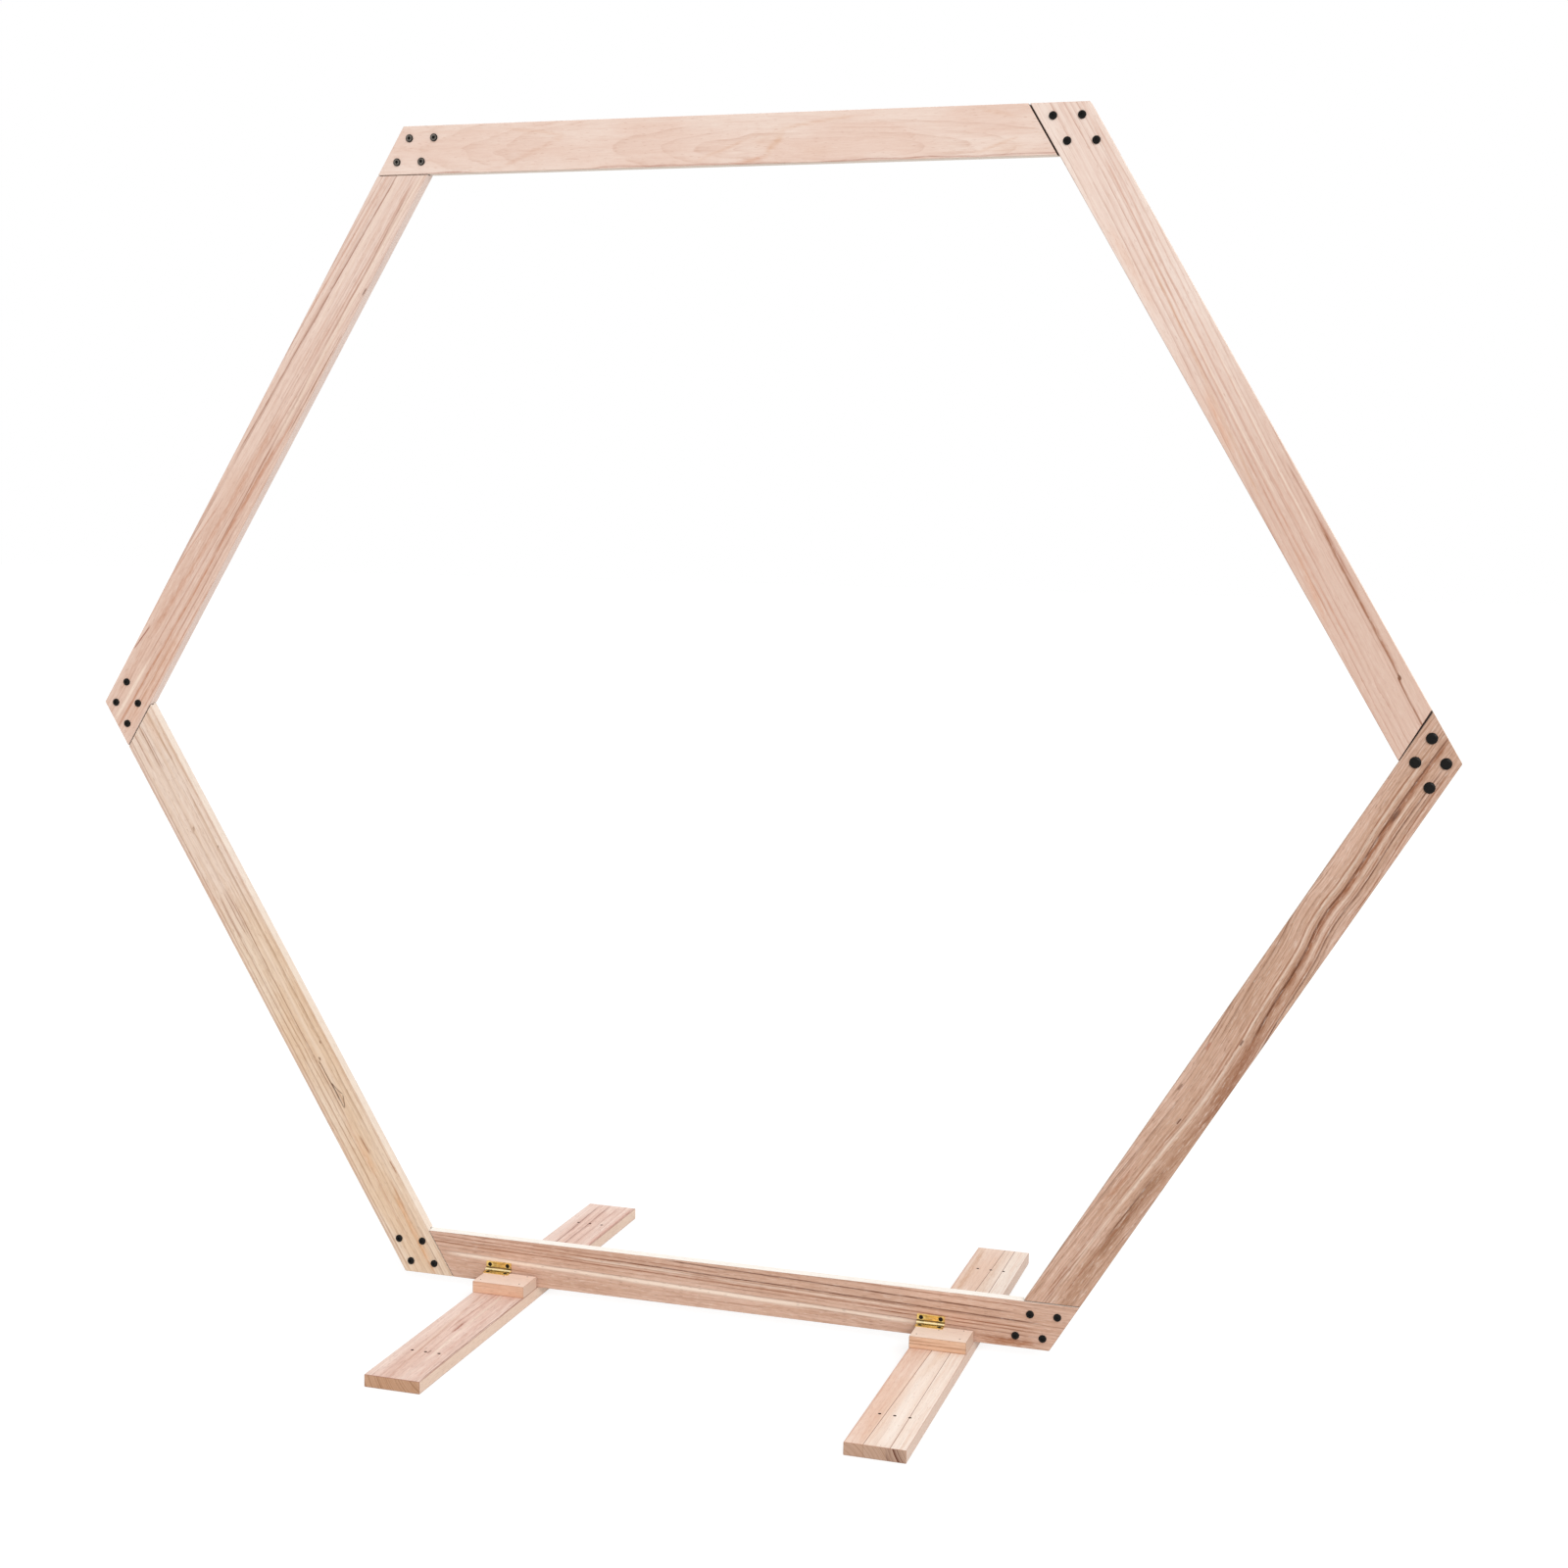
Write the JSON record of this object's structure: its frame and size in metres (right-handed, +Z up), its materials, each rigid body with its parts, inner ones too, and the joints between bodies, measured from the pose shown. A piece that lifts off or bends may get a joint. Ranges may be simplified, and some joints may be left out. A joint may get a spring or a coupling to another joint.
{
  "type": "hexagonal wooden wedding arch",
  "caption": "Free-standing hexagonal timber arch of half-lapped, bolted boards on two flat feet that fold up on small brass hinges.",
  "frame": {"origin": "on the floor, in the middle of the arch's width and of its board thickness", "axes": "+X along the rails to the right, +Y from the front to the back, +Z up"},
  "size_m": [2.1924, 0.88, 1.8705],
  "materials": {
    "pale_board": "planed, unvarnished",
    "pink_board": "planed, unvarnished",
    "streaked_board": "planed, unvarnished",
    "straw_board": "planed, unvarnished",
    "brown_board": "planed, unvarnished",
    "foot_board": "planed, unvarnished",
    "block_wood": "planed, unvarnished",
    "black_steel": "black plated",
    "brass": "satin plated",
    "dark_screw": "dark bronze"
  },
  "bodies": {
    "arch": {"top_rail": "pale_board", "upper_right_leg": "pale_board", "lower_right_leg": "streaked_board", "bottom_rail": "brown_board", "lower_left_leg": "straw_board", "upper_left_leg": "pink_board", "bolts_top_left": "black_steel", "bolts_top_right": "black_steel", "bolts_right": "black_steel", "bolts_bottom_right": "black_steel", "bolts_bottom_left": "black_steel", "bolts_left": "black_steel", "nuts_top_left": "black_steel", "nuts_top_right": "black_steel", "nuts_right": "black_steel", "nuts_bottom_right": "black_steel", "nuts_bottom_left": "black_steel", "nuts_left": "black_steel", "rail_leaf_left": "brass", "rail_leaf_right": "brass", "hinge_pin_left": "brass", "hinge_pin_right": "brass", "rail_screws_left": "dark_screw", "rail_screws_right": "dark_screw"},
    "left_foot": {"foot_left": "foot_board", "block_left": "block_wood", "block_leaf_left": "brass", "block_screws_left": "dark_screw"},
    "right_foot": {"foot_right": "foot_board", "block_right": "block_wood", "block_leaf_right": "brass", "block_screws_right": "dark_screw"}
  },
  "joints": [
    {"name": "left_foot_fold", "type": "hinge", "parent": "arch", "child": "left_foot", "pos_m": [-0.371, -0.0122, 0.0407], "axis": [-1, 0, 0], "range_deg": [0, 90]},
    {"name": "right_foot_fold", "type": "hinge", "parent": "arch", "child": "right_foot", "pos_m": [0.355, -0.0122, 0.0407], "axis": [-1, 0, 0], "range_deg": [0, 90]}
  ]
}
